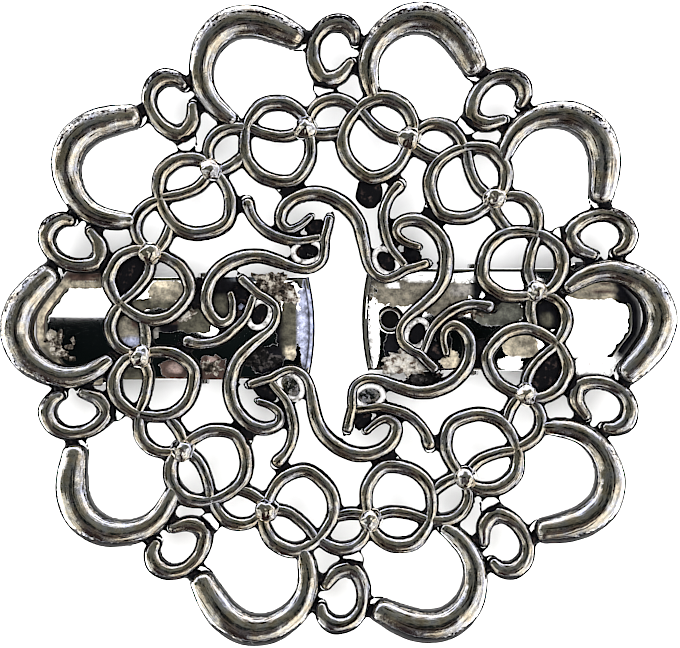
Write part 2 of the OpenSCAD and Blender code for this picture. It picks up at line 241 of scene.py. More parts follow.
# Meshes.
def new_object(name, verts_mm, faces):
    """A smooth-shaded mesh object from points in mm."""
    mesh = bpy.data.meshes.new(name)
    mesh.from_pydata([tuple(v) for v in np.asarray(verts_mm, float) * MM], [], faces)
    mesh.update()
    obj = bpy.data.objects.new(name, mesh)
    bpy.context.scene.collection.objects.link(obj)
    for p in mesh.polygons:
        p.use_smooth = True
    return obj


# A strand's section: an arc over its equator, then its foot, as [side in half widths, height, way round].
ARC = np.radians(np.arange(-90, 91, 10))
FOOT = np.array([(1, 0.12, 2.0), (0.86, 0, 2.3), (-0.86, 0, -2.3), (-1, 0.12, -2.0)])
CAP_OUT = np.array([0.2, 0.4, 0.55, 0.68, 0.79, 0.88, 0.95, 0.99])  # along a blunt end, in half widths
CAP_SIZE = (1 - CAP_OUT ** 2.4) ** (1 / 2.4)


class Strand:
    """One round strand: rings of points along a path, ready to be joined into a mesh."""

    def __init__(self, path, closed=False, lift=0.0, step=0.2, ends=(True, True)):
        path = resampled(path, step)
        if closed:
            path = path[:-1]
        xy, w = path[:, :2], path[:, 2]
        t = np.roll(xy, -1, 0) - np.roll(xy, 1, 0) if closed else np.gradient(xy, axis=0)
        t /= np.linalg.norm(t, axis=1)[:, None]
        shrink = np.ones(len(xy))
        for end, way in ((0, -1), (-1, 1)):
            if closed or not ends[end]:
                continue
            cap = xy[end] + way * t[end] * (w[end] / 2 * CAP_OUT[::way])[:, None]
            xy = np.concatenate([xy, cap][::way])
            t = np.concatenate([t, np.repeat(t[end][None], len(cap), 0)][::way])
            shrink = np.concatenate([shrink, CAP_SIZE[::way]][::way])
            w = np.concatenate([w, np.full(len(cap), w[end])][::way])
        self.closed = closed
        self.xy, self.w = xy, w * shrink
        self.equator = LACE_Z + WALL + lift
        self.radius = w / 2
        r = self.w[:, None] / 2
        foot_side, foot_up, foot_around = FOOT.T
        foot = np.tile(LACE_Z + lift * 0.3 + foot_up, (len(xy), 1))
        side = np.concatenate([r * np.sin(ARC), r * foot_side], 1)
        up = np.concatenate([self.equator + r * np.cos(ARC), foot], 1)
        nrm = np.stack([-t[:, 1], t[:, 0]], 1)
        pts = xy[:, None, :] + nrm[:, None, :] * side[:, :, None]
        self.v = np.concatenate([pts, up[:, :, None]], 2)
        self.rings, self.per = side.shape
        gaps = np.linalg.norm(np.diff(xy, axis=0), axis=1)
        along = np.concatenate([[0], np.cumsum(gaps)])
        around = np.concatenate([ARC, foot_around])
        self.flow = np.stack([np.repeat(along[:, None], self.per, 1), self.radius[:, None] * around], 2)


def tube_faces(rings, per, offset=0, closed=False):
    """The faces of a tube of rings of points, joined into a loop or capped at both ends."""
    faces = []
    for i in range(rings if closed else rings - 1):
        a, b = offset + i * per, offset + (i + 1) % rings * per
        for j in range(per):
            k = (j + 1) % per
            faces.append((a + j, b + j, b + k, a + k))
    if not closed:
        faces.append(tuple(offset + j for j in range(per)))
        faces.append(tuple(offset + (rings - 1) * per + j for j in reversed(range(per))))
    return faces


def smooth_step(low, high, x):
    """0 below low, 1 above high and smooth between."""
    t = np.clip((x - low) / (high - low), 0, 1)
    return t * t * (3 - 2 * t)


BESIDE = 0.8  # mm, how far from a strand's side others are blackened by it, with patina and painted shade
THIN_R = 0.8  # mm, strands of a smaller half width are a little blacker
RIM_AT = (22, 25)  # mm from the middle, where the painted shade of the rim starts and is full
WEST_X = -24  # the scroll whose outer side gets painted shade lies beyond this
WEST_Y = (4.5, 7.5)  # and that painted shade ends between these heights


def gap_to_others(i, strands, boxes):
    """How far each point of strand i is from the nearest other strand's surface."""
    v = strands[i].v.reshape(-1, 3)
    near = np.full(len(v), OPEN_GAP)
    for j, other in enumerate(strands):
        inside = ((v[:, :2] > boxes[j][0]) & (v[:, :2] < boxes[j][1])).all(1)
        if i != j and inside.any():
            q = v[inside]
            dx = q[:, None, :2] - other.xy[None]
            rise = np.maximum(q[:, 2] - other.equator, 0)[:, None]
            d = np.sqrt((dx ** 2).sum(2) + rise ** 2) - other.w[None] / 2
            near[inside] = np.minimum(near[inside], d.min(1))
    return near


def rim_painted_shade(xy, far, outward, upward):
    """Painted shade on the rim's outer sides by the way they face: brown towards -Y, streaks towards +Y, a
    dark scroll at -X.
    """
    south = smooth_step(0.15, 0.45, outward) * smooth_step(0.3, 0.75, -upward)
    north = smooth_step(0.05, 0.3, upward) * (1 - smooth_step(0.65, 0.8, upward))
    facing_shade = np.maximum(0.8 * south, 0.48 * north * smooth_step(0.0, 0.3, outward))
    west = (1 - smooth_step(*WEST_Y, np.abs(xy[:, 1]))) * (xy[:, 0] < WEST_X)
    facing_shade = np.maximum(facing_shade, 0.38 * west[:, None] * smooth_step(-0.1, 0.25, outward))
    return facing_shade * smooth_step(*RIM_AT, far)[:, None]


def patina_and_painted_shade(strands):
    """How black each point of each strand is, 0 to 1: patina and painted shade beside other strands, painted
    shade low on its own sides and on the rim.
    """
    out = []
    boxes = [(s.xy.min(0) - s.w.max() / 2 - BESIDE, s.xy.max(0) + s.w.max() / 2 + BESIDE) for s in strands]
    for i, s in enumerate(strands):
        height = ((s.v[:, :, 2] - s.equator) / s.radius[:, None]).ravel()
        side = (s.v[:, :, :2] - s.xy[:, None]) / s.radius[:, None, None]
        far = np.linalg.norm(s.xy, axis=1)
        outward = (side * (s.xy / far[:, None])[:, None]).sum(2)
        thin = 0.1 * (s.radius.mean() < THIN_R)
        close = 1 - smooth_step(0.05, 0.6, gap_to_others(i, strands, boxes))
        close *= 1 - smooth_step(0.5, 0.93, height)
        flank = 1 - smooth_step(0.36 + thin, 0.66 + thin, height)
        flank *= 1 - 0.45 * smooth_step(0.05, 0.4, -height) * smooth_step(0.0, 0.3, outward.ravel())
        facing_shade = rim_painted_shade(s.xy, far, outward, side[:, :, 1]).ravel()
        out.append(np.maximum(np.maximum(close, 0.9 * flank), facing_shade) + thin)
    return out


def web_mesh(strands, fillet=0.24, cell=0.125, half=31.0, overlap=0.1, reach=2.2):
    """The cast webs that fill the narrow gaps and corners between strands, as islands of one height."""
    n = int(2 * half / cell) + 1
    axis = np.linspace(-half, half, n)
    nearest = np.full((n, n), OPEN_GAP)
    for s in strands:
        lo = np.maximum(((s.xy.min(0) - reach + half) / cell).astype(int), 0)
        hi = np.minimum(((s.xy.max(0) + reach + half) / cell).astype(int) + 1, n)
        gx, gy = np.meshgrid(axis[lo[0]:hi[0]], axis[lo[1]:hi[1]], indexing="ij")
        d = np.full(gx.shape, OPEN_GAP)
        for (px, py), w in zip(s.xy, s.w):
            d = np.minimum(d, np.hypot(gx - px, gy - py) - w / 2)
        nearest[lo[0]:hi[0], lo[1]:hi[1]] = np.minimum(nearest[lo[0]:hi[0], lo[1]:hi[1]], d)
    cells = int(math.ceil(fillet / cell))
    closed = np.full((n, n), -OPEN_GAP)
    for i in range(-cells, cells + 1):
        for j in range(-cells, cells + 1):
            over = math.hypot(i, j) * cell - fillet
            if over <= 0.5 * cell:
                closed = np.maximum(closed, np.roll(nearest, (i, j), (0, 1)) - max(over, 0))
    field = np.maximum(closed - fillet, -nearest - overlap)
    keys, points, faces = {}, [], []

    def corner(i, j, kind, p):
        if (i, j, kind) not in keys:
            keys[(i, j, kind)] = len(points)
            points.append(p)
        return keys[(i, j, kind)]

    low = np.minimum(np.minimum(field[:-1, :-1], field[1:, :-1]), np.minimum(field[:-1, 1:], field[1:, 1:]))
    for i, j in zip(*np.nonzero(low < 0)):
        ring = [(i, j), (i + 1, j), (i + 1, j + 1), (i, j + 1)]
        face = []
        for (a, b), (c, d) in zip(ring, ring[1:] + ring[:1]):
            f0, f1 = field[a, b], field[c, d]
            if f0 < 0:
                face.append(corner(a, b, 0, (axis[a], axis[b])))
            if (f0 < 0) != (f1 < 0):
                t = f0 / (f0 - f1)
                p = (axis[a] + (axis[c] - axis[a]) * t, axis[b] + (axis[d] - axis[b]) * t)
                face.append(corner(min(a, c), min(b, d), 1 if a != c else 2, p))
        if len(face) > 2:
            faces.append(tuple(face))
    return prism(np.array(points), faces, LACE_Z, LACE_Z + WEB_T)


def prism(flat, faces, z0, z1):
    """A flat mesh given a thickness, with walls round its open edges."""
    total = len(flat)
    low = np.broadcast_to(z0, total)
    top = np.broadcast_to(z1, total)
    v = np.concatenate([np.column_stack([flat, top]), np.column_stack([flat, low])])
    f = list(faces) + [tuple(i + total for i in reversed(face)) for face in faces]
    used = {(i, j) for face in faces for i, j in zip(face, face[1:] + face[:1])}
    f += [(j, i, i + total, j + total) for i, j in sorted(used) if (j, i) not in used]
    return v, f


def filled(loop, z0, z1, rings=6):
    """A thin sheet that fills a closed loop."""
    middle = loop.mean(0)
    flat = [middle + (loop - middle) * (1 - i / rings) for i in range(rings)] + [middle[None]]
    n, faces = len(loop), []
    for j in range(n):
        k = (j + 1) % n
        for i in range(rings - 1):
            faces.append((i * n + j, i * n + k, (i + 1) * n + k, (i + 1) * n + j))
        faces.append(((rings - 1) * n + j, (rings - 1) * n + k, rings * n))
    return prism(np.concatenate(flat), faces, z0, z1)


def set_points(obj, name, values, kind="FLOAT", field="value"):
    """What a mesh's points carry for its material: one number for all, or a number or row for each."""
    if np.ndim(values) == 0:
        values = np.full(len(obj.data.vertices), values)
    att = obj.data.attributes.new(name, kind, "POINT")
    att.data.foreach_set(field, values.astype(np.float32).ravel())


def wobble(v, seed, size, amount):
    """Smooth unevenness, as a hand-finished casting has."""
    shift = Vector((seed * 3.1, seed * 1.7, seed * 2.3))
    return np.array([noise.noise_vector(Vector(p) / size + shift) for p in v]) * amount

# A casting's wobbles: seed shift, size and amount.
UNEVEN = ((0, 1.6, 0.045), (5, 0.6, 0.018), (9, 0.35, 0.006))


def build_lace(name, strands, patina_and_shade, seed):
    """Strands joined into one object, with how black its points are (patina and painted shade) and how far
    along and round they lie.
    """
    verts, faces, flow = [], [], []
    offset = 0
    for i, s in enumerate(strands):
        v = s.v.reshape(-1, 3)
        flow.append(np.column_stack([s.flow.reshape(-1, 2), np.full(len(v), 7.3 * i)]))
        faces += tube_faces(s.rings, s.per, offset, s.closed)
        verts.append(v)
        offset += len(v)
    v = np.concatenate(verts)
    v = v + sum(wobble(v, seed + shift, size, amount) for shift, size, amount in UNEVEN)
    obj = new_object(name, v, faces)
    set_points(obj, "black", np.concatenate(patina_and_shade))
    set_points(obj, "flow", np.concatenate(flow), "FLOAT_VECTOR", "vector")
    return obj


# Node trees and materials.
def grey(tone):
    """A colour of three like values."""
    return (tone, tone, tone)


class Tree:
    """An emptied node tree, with short ways to add and link its nodes."""

    def __init__(self, owner, coordinates=None):
        owner.use_nodes = True
        self.tree = owner.node_tree
        self.tree.nodes.clear()
        if coordinates:
            self.coord = self.add("ShaderNodeTexCoord").outputs[coordinates]

    def add(self, kind, **values):
        """A new node, with properties and input values set by name."""
        n = self.tree.nodes.new(kind)
        for key, value in values.items():
            if hasattr(n, key):
                setattr(n, key, value)
            else:
                n.inputs[key].default_value = value
        return n

    def link(self, a, b):
        self.tree.links.new(a, b)

    def feed(self, value, socket):
        """Links a socket's value, or sets a colour or number."""
        if isinstance(value, bpy.types.NodeSocket):
            self.link(value, socket)
        elif isinstance(value, (tuple, list)) and len(value) == 3:
            socket.default_value = (*value, 1)
        else:
            socket.default_value = value

    def noise(self, scale, detail=3.0, rough=0.55, vector=None):
        n = self.add("ShaderNodeTexNoise", Scale=scale, Detail=detail, Roughness=rough)
        self.link(vector or self.coord, n.inputs["Vector"])
        return n.outputs["Fac"]

    def ramp(self, source, *stops):
        n = self.add("ShaderNodeValToRGB")
        e = n.color_ramp.elements
        while len(e) > 1:
            e.remove(e[-1])
        for i, (at, colour) in enumerate(stops):
            stop = e[0] if i == 0 else e.new(at)
            stop.position = at
            stop.color = (*colour, 1)
        self.link(source, n.inputs[0])
        return n.outputs[0]

    def mix(self, fac, a, b, blend="MIX"):
        n = self.add("ShaderNodeMix", data_type="RGBA", blend_type=blend)
        self.feed(fac, n.inputs[0])
        self.feed(a, n.inputs[6])
        self.feed(b, n.inputs[7])
        return n.outputs[2]

    def maths(self, how, *values):
        n = self.add("ShaderNodeMath", operation=how)
        for value, socket in zip(values, n.inputs):
            self.feed(value, socket)
        return n.outputs[0]

    def map_range(self, source, how, from_min, from_max, to_min=0.0, to_max=1.0):
        limits = {"From Min": from_min, "From Max": from_max, "To Min": to_min, "To Max": to_max}
        n = self.add("ShaderNodeMapRange", interpolation_type=how, **limits)
        self.link(source, n.inputs["Value"])
        return n.outputs[0]

    def scatter(self, value, *layers):
        """A value made uneven by noises that swing about a half, each with its weight."""
        for layer, weight in layers:
            swing = self.maths("MULTIPLY", self.maths("SUBTRACT", layer, 0.5), weight)
            value = self.maths("ADD", value, swing)
        return value


class Material(Tree):
    """A material with one shader."""

    def __init__(self, name):
        self.mat = bpy.data.materials.new(name)
        super().__init__(self.mat, "Object")
        self.shader = self.add("ShaderNodeBsdfPrincipled")
        self.link(self.shader.outputs[0], self.add("ShaderNodeOutputMaterial").inputs[0])

    def shade(self, **values):
        """Feeds the shader's sockets, with an underscore for each space in a name."""
        for name, value in values.items():
            self.feed(value, self.shader.inputs[name.replace("_", " ")])

    def bump(self, height, strength, distance_mm):
        n = self.add("ShaderNodeBump", Strength=strength, Distance=distance_mm * MM)
        self.link(height, n.inputs["Height"])
        self.link(n.outputs[0], self.shader.inputs["Normal"])


STREAKS = (0.4, 4.6, 1.0)  # how often the streaks change along, across and from strand to strand


def silver_material():
    """Polished casting with fine streaks along its strands, blackened by patina and painted shade in its
    corners and on its shaded sides.
    """
    m = Material("antique_silver")
    black = m.add("ShaderNodeAttribute", attribute_name="black").outputs["Fac"]
    flow = m.add("ShaderNodeAttribute", attribute_name="flow").outputs["Vector"]
    drawn_out = m.add("ShaderNodeVectorMath", operation="MULTIPLY")
    m.link(flow, drawn_out.inputs[0])
    drawn_out.inputs[1].default_value = STREAKS
    streak = m.noise(1.0, 3, 0.6, drawn_out.outputs[0])
    broad = m.noise(700, 3)
    fine = m.noise(3800, 4, 0.6)
    grain = m.noise(1500, 4, 0.7)
    # the black of patina and painted shade, broken up by noise and streaks
    shade_and_patina_amount = m.scatter(black, (fine, 0.75), (grain, 0.6), (streak, 0.8))
    dull = m.ramp(shade_and_patina_amount, (0.4, grey(0)), (0.75, grey(1)))
    patina_and_shade = m.ramp(shade_and_patina_amount, (0.34, grey(0)), (0.56, grey(1)))
    tone = m.ramp(broad, (0.36, (0.88, 0.79, 0.66)), (0.5, (0.90, 0.88, 0.85)), (0.64, (0.80, 0.82, 0.93)))
    worn = m.ramp(streak, (0.35, (0.16, 0.14, 0.12)), (0.42, grey(1)))
    metal = m.mix(1.0, tone, worn, "MULTIPLY")
    shadow_and_patina_black = m.ramp(grain, (0.56, (0.0015, 0.0015, 0.002)), (0.72, (0.03, 0.02, 0.018)))
    rough = m.ramp(fine, (0.3, grey(0.10)), (0.7, grey(0.19)))
    m.shade(Base_Color=m.mix(patina_and_shade, metal, shadow_and_patina_black), Roughness=m.mix(dull, rough, grey(0.42)),
            Metallic=m.mix(dull, grey(1), grey(0)), Specular_IOR_Level=0.1)
    m.bump(m.maths("ADD", m.noise(1900, 2, 0.5), m.maths("MULTIPLY", streak, 0.85)), 0.5, 0.06)
    return m.mat


def nickel_material(name, rough_low, rough_high, metallic):
    """Plating with stains, and with marks of painted shadow, highlight and reflection."""
    m = Material(name)
    mark = m.add("ShaderNodeAttribute", attribute_name="mark")
    broad = m.noise(260, 3)
    fine = m.noise(2600, 5, 0.65)
    marked = m.scatter(mark.outputs["Alpha"], (fine, 1.0), (m.noise(900, 3), 1.5))
    there = m.ramp(marked, (0.48, grey(0)), (0.52, grey(1)))
    tone = m.ramp(broad, (0.35, (0.86, 0.85, 0.83)), (0.65, (0.88, 0.89, 0.93)))
    spots = m.noise(1500, 5, 0.75)
    mottle = m.ramp(spots, (0.38, (0.4, 0.39, 0.38)), (0.5, grey(0.9)), (0.62, (1.5, 1.47, 1.44)))
    stains_and_painted_light = m.mix(1.0, mark.outputs["Color"], mottle, "MULTIPLY")
    rough = m.ramp(fine, (0.3, grey(rough_low)), (0.75, grey(rough_high)))
    m.shade(Base_Color=m.mix(there, tone, stains_and_painted_light), Roughness=m.mix(there, rough, grey(0.45)),
            Metallic=m.mix(there, grey(metallic), grey(0.1)), Specular_IOR_Level=0.2)
    return m.mat


def rubbed_material():
    """Silver rubbed matt, as on the walls round the eyes."""
    m = Material("rubbed_silver")
    grain = m.noise(1700, 4, 0.6)
    tone = m.ramp(grain, (0.36, (0.15, 0.14, 0.13)), (0.52, (0.72, 0.71, 0.71)))
    m.shade(Base_Color=tone, Metallic=0.62, Roughness=0.3)
    m.bump(grain, 0.4, 0.05)
    return m.mat


def steel_material():
    """Drawn wire."""
    m = Material("steel")
    fine = m.noise(3000, 4)
    m.shade(Base_Color=m.ramp(fine, (0.3, grey(0.5)), (0.7, (0.62, 0.62, 0.63))),
            Roughness=m.ramp(fine, (0.3, grey(0.2)), (0.75, grey(0.34))), Metallic=1.0)
    m.bump(m.noise(5000, 2), 0.1, 0.02)
    return m.mat


def solder_material(name, low, middle, high):
    """Rough pitted metal left where the clips are fixed."""
    m = Material(name)
    broad = m.noise(1500, 5, 0.7)
    m.shade(Base_Color=m.ramp(broad, (0.40, low), (0.50, middle), (0.60, high)),
            Roughness=m.ramp(broad, (0.4, grey(0.5)), (0.6, grey(0.28))), Metallic=0.75)
    m.bump(m.noise(3600, 4, 0.7), 0.8, 0.12)
    return m.mat


SILVER = silver_material()
RUBBED_SILVER = rubbed_material()
STEEL = steel_material()
NICKEL = nickel_material("nickel", 0.012, 0.03, 1.0)
DULL_NICKEL = nickel_material("dull_nickel", 0.4, 0.5, 0.5)
PALE_SOLDER = solder_material("pale_solder", (0.14, 0.11, 0.09), (0.66, 0.62, 0.56), (0.85, 0.83, 0.79))
BROWN_SOLDER = solder_material("brown_solder", (0.014, 0.012, 0.01), (0.13, 0.105, 0.085), (0.75, 0.7, 0.62))
BLACK_SOLDER = solder_material(
    "black_solder", (0.006, 0.006, 0.007), (0.012, 0.011, 0.011), (0.1, 0.09, 0.09))


def finish_piece(obj, material, body, slot, *nodes):
    """Gives a piece its material and its body and hides the CAD nodes that it stands for. The slot is not
    used.
    """
    obj.data.materials.clear()
    obj.data.materials.append(material)
    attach(obj, body)
    if nodes:
        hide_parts(*nodes)
    return obj


# The openwork.
CASTING = ("base", "antique_silver", "rosette")  # its pieces' body, slot and CAD node
FULL_BLACK = 1.1
PLAIN = (False, False)  # neither end of a strand is blunt


def copies(family, *motifs):
    """The strands of a family's motifs, copy by copy. A motif is its rows and what its strands are given."""
    return [Strand(placed(catmull(rows, how.get("closed", False)), k, family), **how)
            for k in range(family[0]) for rows, how in motifs]


def eye_ring():
    """Rows for the thin oval wall round an eye."""
    turn = math.radians(EYE_TURN)
    rows = []
    for t in np.linspace(0, 2 * math.pi, 12, endpoint=False):
        long, short = EYE_HALF[0] * math.cos(t), EYE_HALF[1] * math.sin(t)
        rows.append([EYE_AT[0] + long * math.cos(turn) - short * math.sin(turn),
                     EYE_AT[1] + long * math.sin(turn) + short * math.cos(turn), EYE_WALL])
    return rows


long_scroll = INNER_SCROLL[:-1] + next_motif(INNER_EYE[1:], INNER[0])
rim = copies(RIM, (LARGE_SCROLL, {"lift": 0.02}), (SMALL_RING, {"lift": -0.03}))
band = copies(BAND, (BAND_RING, {"closed": True}), (BAND_BAR, {"lift": -0.04, "ends": PLAIN}),
              (BAND_LOOP, {"lift": -0.07, "ends": PLAIN}), (BAND_TIE, {"lift": -0.1, "ends": PLAIN}))
inner = copies(INNER, (long_scroll, {"lift": 0.03}), (INNER_TAIL, {"lift": -0.06, "ends": (True, False)}))
ties = [strand for family, rows in ((RIM, RIM_TIES), (INNER, INNER_TIES))
        for strand in copies(family, *((row, {"lift": -0.3, "ends": PLAIN}) for row in rows))]
eye_rings = copies(INNER, (eye_ring(), {"closed": True, "step": 0.12}))
every = rim + band + inner + ties + eye_rings
patina_and_shade = patina_and_painted_shade(every)
start = 0
for name, part, material, seed in (("rosette_rim", rim, SILVER, 1), ("rosette_band", band, SILVER, 2),
                                   ("rosette_middle", inner, SILVER, 3), ("rosette_ties", ties, SILVER, 4),
                                   ("rosette_eyes", eye_rings, RUBBED_SILVER, 6)):
    tones = patina_and_shade[start:start + len(part)]
    start += len(part)
    # The low ties between strands are all black: painted shade.
    if part is ties:
        tones = [np.full(len(tone), FULL_BLACK) for tone in tones]
    finish_piece(build_lace(name, part, tones, seed), material, *CASTING)

webs_v, webs_f = web_mesh(every)
on_top = webs_v[:, 2:] > LACE_Z + WEB_T / 2
webs_v = webs_v + wobble(webs_v, seed=9, size=0.7, amount=0.06) * on_top
webs = new_object("rosette_webs", webs_v, webs_f)
# The webs in the corners between strands are all black: patina with painted shade.
set_points(webs, "black", 1.0)
finish_piece(webs, SILVER, *CASTING)


def lump(at, half_sizes, seed, rough, size, rings=18, spokes=30):
    """A rounded lump about a point, uneven at two scales."""
    v = []
    for i in range(1, rings):
        t = math.pi * i / rings
        for j in range(spokes):
            p = 2 * math.pi * j / spokes
            v.append([math.sin(t) * math.cos(p), math.sin(t) * math.sin(p), math.cos(t)])
    v += [[0, 0, 1], [0, 0, -1]]
    top, foot, last = len(v) - 2, len(v) - 1, (rings - 2) * spokes
    f = tube_faces(rings - 1, spokes)[:-2]
    for j in range(spokes):
        k = (j + 1) % spokes
        f += [(top, j, k), (foot, last + k, last + j)]
    v = np.array(v)
    push, pits = [np.array([noise.noise(Vector(q) / grain + Vector(shift)) for q in v * half_sizes])
                  for grain, shift in ((size, (seed * 5.3, seed, 0)), (size * 0.4, (seed, 0, seed * 2.9)))]
    return v * (1 + rough * push * 2 + rough * pits)[:, None] * half_sizes + at, f


def joined_object(name, pieces):
    """One object of several pieces, each its points and faces."""
    verts, faces, offset = [], [], 0
    for v, f in pieces:
        verts.append(v)
        faces += [tuple(i + offset for i in face) for face in f]
        offset += len(v)
    return new_object(name, np.concatenate(verts), faces)


def lumps_at(spot, family, half, height, z, seed, **how):
    """Round lumps at a motif's spot in each copy, about height z."""
    spots = [placed(np.array([[*spot, z]]), k, family)[0] for k in range(family[0])]
    return [lump(at, (half, half, height), seed + k, **how) for k, at in enumerate(spots)]


BEAD_Z = LACE_Z + WALL + 0.2
beads = lumps_at(BEAD_AT, BAND, BEAD_R, BEAD_R, BEAD_Z, 20, rough=0.09, size=1.0)
bead_piece = joined_object("rosette_beads", beads)
height = np.concatenate([v[:, 2] for v, _ in beads]) - LACE_Z - WALL
# Each bead is blacker towards its foot: painted shade.
set_points(bead_piece, "black", 0.9 * (1 - smooth_step(0.0, 0.55, height)))
finish_piece(bead_piece, SILVER, *CASTING)

floors = lumps_at(EYE_AT, INNER, EYE_R, 0.3, LACE_Z + 0.35, 50, rough=0.1, size=1.1)
cups = joined_object("rosette_cups", floors)
# Each eye's floor is black by its own amount: painted shade.
tones = [np.full(len(v), tone) for tone, (v, _) in zip(EYE_SHADE, floors)]
set_points(cups, "black", np.concatenate(tones))
finish_piece(cups, SILVER, *CASTING)

# Black sheets put where shade falls: the outer halves of two barred rings, an oval in each inner motif and
# the forks; painted shade.
SHEET_Z = (LACE_Z + 0.3, LACE_Z + 0.75)
sheets = []
outer_half = catmull(BAND_RING, closed=True)[OUTER_HALF_ROW * SPAN_POINTS:-1]
for k in FILLED_RINGS:
    loop = placed(np.concatenate([catmull(BAND_BAR)[:-1], outer_half]), k, BAND)[:, :2]
    sheets.append(filled(loop, *SHEET_Z))
x, y, *half = OVAL_WEB
sheets.append(lump((x, y, LACE_Z + 0.5), (*half, 0.3), 60, rough=0.06, size=1.2, spokes=48))
sheets += lumps_at(FORK_AT, INNER, FORK_R, 0.25, LACE_Z + 0.45, 62, rough=0.28, size=0.7, spokes=48)
shade_sheets = joined_object("rosette_shade_sheets", sheets)
set_points(shade_sheets, "black", FULL_BLACK)
finish_piece(shade_sheets, SILVER, *CASTING)


# The clips.
def turned(v, left):
    """A clip is drawn with its mouth towards +X, then turned to its side."""
    v = np.array(v, float)
    v[:, 1] += SHIFT
    if left:
        v[:, :2] *= -1
    return v


def dense(points, step):
    """A closed outline with points about step apart."""
    p = np.array(points + [points[0]], float)
    out = []
    for a, b in zip(p[:-1], p[1:]):
        n = max(int(np.linalg.norm(b - a) / step), 1)
        out += [a + (b - a) * i / n for i in range(n)]
    return np.array(out)


def plate_outline():
    """A plate from above: its convex tail, one side, the mouth and the other side."""
    half, mouth = PLATE_W / 2, MOUTH_W / 2
    r = (half ** 2 + TAIL_SAG ** 2) / (2 * TAIL_SAG)
    tail = [[TAIL + r - math.sqrt(r * r - y * y), y] for y in np.linspace(half, -half, 25)]
    end = REACH + TUCK
    side = [[MOUTH_FROM, half], [MOUTH_FULL, mouth], [MOUTH_CORNER, mouth], [end - LIP_CHAMFER, LIP_CORNER],
            [end, LIP_END]]
    return dense(tail + [[x, -y] for x, y in side] + side[::-1], 0.3)


def inset(loop, d):
    """A loop moved inwards by d."""
    t = np.roll(loop, -1, 0) - np.roll(loop, 1, 0)
    t /= np.linalg.norm(t, axis=1)[:, None]
    return loop + np.stack([-t[:, 1], t[:, 0]], 1) * d


def edge_distance(p, loops, at_once=2000):
    """How far each point is from the nearest loop."""
    best = np.full(len(p), 99.0)
    for loop in loops:
        a, b = loop, np.roll(loop, -1, 0)
        ab = b - a
        for s in range(0, len(p), at_once):
            q = p[s:s + at_once, None, :]
            t = np.clip(((q - a) * ab).sum(2) / (ab ** 2).sum(1), 0, 1)
            d = np.linalg.norm(q - a - ab * t[:, :, None], axis=2).min(1)
            best[s:s + at_once] = np.minimum(best[s:s + at_once], d)
    return best


def plate_paint(spots, edge, from_tail, at_mouth, left):
    """Colour and strength of the marks at each point of a plate, laid one over another: stains, painted
    shadow, painted highlights and painted reflections.
    """
    paint = np.zeros((len(spots), 4))
    blur = 0.03

    def lay(amount, name):
        paint[:] = paint * (1 - amount[:, None]) + np.array([*MARKS[name], 1.0]) * amount[:, None]

    def line(low, high, depth=edge, where=at_mouth):
        before_high = 1 - smooth_step(high - blur, high + blur, depth)
        return where * smooth_step(low - blur, low + blur, depth) * before_high

    for low, high, name in LEFT_LIP if left else RIGHT_LIP:
        lay(line(low, high), name)
    for x, y, half_x, half_y, name in PLATE_MARKS:
        away = np.abs((spots[:, 0] - x) / half_x) ** 3 + np.abs((spots[:, 1] - y) / half_y) ** 3
        lay(np.clip((1.25 - away ** (1 / 3)) * 2, 0, 1), name)
    for low, high in TAIL_LINES:
        lay(line(low, high, from_tail, 1.0), "shadow_and_patina_black")
    paint[:, :3] /= np.maximum(paint[:, 3:], 0.001)
    return paint


def flat_mesh(points, loops):
    """A flat mesh of points, with the loops that they start with as edges."""
    edges, first = [], 0
    for loop in loops:
        edges += [(first + i, first + (i + 1) % len(loop)) for i in range(len(loop))]
        first += len(loop)
    verts, _, faces, _, _, _ = geometry.delaunay_2d_cdt([Vector(q) for q in points], edges, [], 2, 1e-6)
    return np.array([[q.x, q.y] for q in verts]), [tuple(face) for face in faces]


def without_hole(v2, faces, x, y, radius):
    """The faces that lie outside a round hole."""
    return [face for face in faces if math.hypot(*(v2[list(face)].mean(0) - (x, y))) > radius]


def plate_mesh(left):
    """A plate from above as a fine mesh: its points, its faces and how far each point is from an edge."""
    outline = plate_outline()
    hole = np.array([[HOLE_AT + HOLE_R * math.cos(a), HOLE_R * math.sin(a)]
                     for a in np.linspace(0, -2 * math.pi, 36, endpoint=False)])
    loops = [outline] if left else [outline, hole]
    rows = [inset(outline, depth)[::1 if depth < 0.6 else 2] for depth in EDGE_DEPTHS]
    if not left:
        rows += [inset(hole, depth) for depth in HOLE_DEPTHS]
    gx, gy = np.meshgrid(np.arange(TAIL + 0.5, REACH, GRID), np.arange(-MOUTH_W / 2, MOUTH_W / 2, GRID))
    grid = np.stack([gx.ravel(), gy.ravel()], 1)
    x, aside = grid[:, 0], np.abs(grid[:, 1])
    inside = (aside < PLATE_W / 2) | ((x > MOUTH_FULL) & (x < MOUTH_CORNER))
    inside &= (aside < (REACH - x) * MOUTH_SLOPE + LIP_CORNER)
    inside &= (edge_distance(grid, [outline]) > 1.3) & (edge_distance(grid, loops) > 0.6)
    v2, faces = flat_mesh(np.concatenate(loops + rows + [grid[inside]]), loops)
    d = edge_distance(v2, loops)
    if not left:
        faces = without_hole(v2, faces, HOLE_AT, 0, HOLE_R)
    return v2, faces, d


